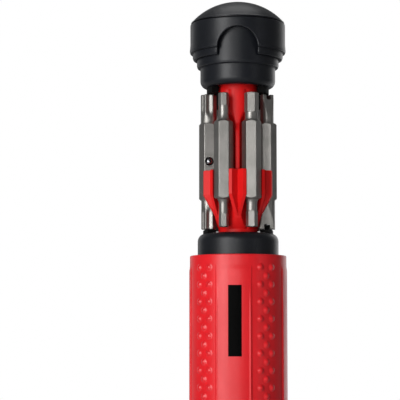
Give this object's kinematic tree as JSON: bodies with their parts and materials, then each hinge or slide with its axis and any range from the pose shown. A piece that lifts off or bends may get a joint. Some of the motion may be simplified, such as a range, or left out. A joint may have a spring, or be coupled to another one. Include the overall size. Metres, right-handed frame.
{
  "type": "multi-bit screwdriver",
  "caption": "Screwdriver with a round grip, a hexagonal bit socket in its shaft, a turning palm cap and a pull-out cartridge that stores double-ended bits.",
  "frame": {"origin": "on the tool's axis, at the middle of the grip's cylinder", "axes": "+Z along the tool from the tip to the palm cap, front panel towards -Y"},
  "size_m": [0.0364, 0.0364, 0.3465],
  "materials": {
    "red_plastic": "satin moulded",
    "black_plastic": "satin moulded",
    "black_steel": "glossy black",
    "bit_steel": "bead-blasted grey",
    "bright_steel": "polished"
  },
  "bodies": {
    "handle": {"handle": "red_plastic", "shaft": "black_steel", "shaft_collar": "black_plastic"},
    "cartridge": {"guide_ring": "black_plastic", "bit_carrier": "red_plastic", "cap_core": "black_plastic", "cap_washer": "bright_steel", "cap_pivot_screw": "bright_steel"},
    "palm_cap": {"cap_shell": "black_plastic", "cap_dome": "black_plastic"},
    "star_bit_large": {"star_bit_large": "bit_steel", "star_bit_large_spring": "bright_steel"},
    "star_bit_large_ball": {"star_bit_large_ball": "bright_steel"},
    "hex_bit_small": {"hex_bit_small": "bit_steel", "hex_bit_small_spring": "bright_steel"},
    "hex_bit_small_ball": {"hex_bit_small_ball": "bright_steel"},
    "hex_bit_large": {"hex_bit_large": "bit_steel", "hex_bit_large_spring": "bright_steel"},
    "hex_bit_large_ball": {"hex_bit_large_ball": "bright_steel"},
    "spanner_bit_large": {"spanner_bit_large": "bit_steel", "spanner_bit_large_spring": "bright_steel"},
    "spanner_bit_large_ball": {"spanner_bit_large_ball": "bright_steel"},
    "star_bit_small": {"star_bit_small": "bit_steel", "star_bit_small_spring": "bright_steel"},
    "star_bit_small_ball": {"star_bit_small_ball": "bright_steel"},
    "spanner_bit_small": {"spanner_bit_small": "bit_steel", "spanner_bit_small_spring": "bright_steel"},
    "spanner_bit_small_ball": {"spanner_bit_small_ball": "bright_steel"},
    "fitted_star_bit": {"fitted_star_bit": "bit_steel", "fitted_star_bit_spring": "bright_steel"},
    "fitted_star_bit_ball": {"fitted_star_bit_ball": "bright_steel"}
  },
  "joints": [
    {"name": "cartridge_slide", "type": "slide", "parent": "handle", "child": "cartridge", "axis": [0, 0, 1], "range_m": [-0.0735, 0]},
    {"name": "cap_spin", "type": "hinge", "parent": "cartridge", "child": "palm_cap", "pos_m": [0, 0, 0.12], "axis": [0, 0, 1], "continuous": true},
    {"name": "star_bit_large_out", "type": "slide", "parent": "cartridge", "child": "star_bit_large", "axis": [-0.9956, -0.0941, 0], "range_m": [0, 0.02]},
    {"name": "hex_bit_small_out", "type": "slide", "parent": "cartridge", "child": "hex_bit_small", "axis": [-0.4787, -0.878, 0], "range_m": [0, 0.02]},
    {"name": "hex_bit_large_out", "type": "slide", "parent": "cartridge", "child": "hex_bit_large", "axis": [0.4602, -0.8878, 0], "range_m": [0, 0.02]},
    {"name": "spanner_bit_large_out", "type": "slide", "parent": "cartridge", "child": "spanner_bit_large", "axis": [0.9934, -0.1149, 0], "range_m": [0, 0.02]},
    {"name": "star_bit_small_out", "type": "slide", "parent": "cartridge", "child": "star_bit_small", "axis": [0.6508, 0.7593, 0], "range_m": [0, 0.02]},
    {"name": "spanner_bit_small_out", "type": "slide", "parent": "cartridge", "child": "spanner_bit_small", "axis": [-0.6347, 0.7727, 0], "range_m": [0, 0.02]},
    {"name": "fitted_star_bit_out", "type": "slide", "parent": "handle", "child": "fitted_star_bit", "axis": [0, 0, -1], "range_m": [0, 0.04]},
    {"name": "star_bit_large_ball_press", "type": "slide", "parent": "star_bit_large", "child": "star_bit_large_ball", "axis": [0.0941, -0.9956, 0], "range_m": [-0.0008, 0], "stiffness_N_per_m": 200},
    {"name": "hex_bit_small_ball_press", "type": "slide", "parent": "hex_bit_small", "child": "hex_bit_small_ball", "axis": [-0.878, 0.4787, 0], "range_m": [-0.0008, 0], "stiffness_N_per_m": 200},
    {"name": "hex_bit_large_ball_press", "type": "slide", "parent": "hex_bit_large", "child": "hex_bit_large_ball", "axis": [0.8878, 0.4602, 0], "range_m": [-0.0008, 0], "stiffness_N_per_m": 200},
    {"name": "spanner_bit_large_ball_press", "type": "slide", "parent": "spanner_bit_large", "child": "spanner_bit_large_ball", "axis": [0.1149, 0.9934, 0], "range_m": [-0.0008, 0], "stiffness_N_per_m": 200},
    {"name": "star_bit_small_ball_press", "type": "slide", "parent": "star_bit_small", "child": "star_bit_small_ball", "axis": [-0.7593, 0.6508, 0], "range_m": [-0.0008, 0], "stiffness_N_per_m": 200},
    {"name": "spanner_bit_small_ball_press", "type": "slide", "parent": "spanner_bit_small", "child": "spanner_bit_small_ball", "axis": [-0.7727, -0.6347, 0], "range_m": [-0.0008, 0], "stiffness_N_per_m": 200},
    {"name": "fitted_star_bit_ball_press", "type": "slide", "parent": "fitted_star_bit", "child": "fitted_star_bit_ball", "axis": [0, 1, 0], "range_m": [-0.00035, 0], "stiffness_N_per_m": 200}
  ]
}
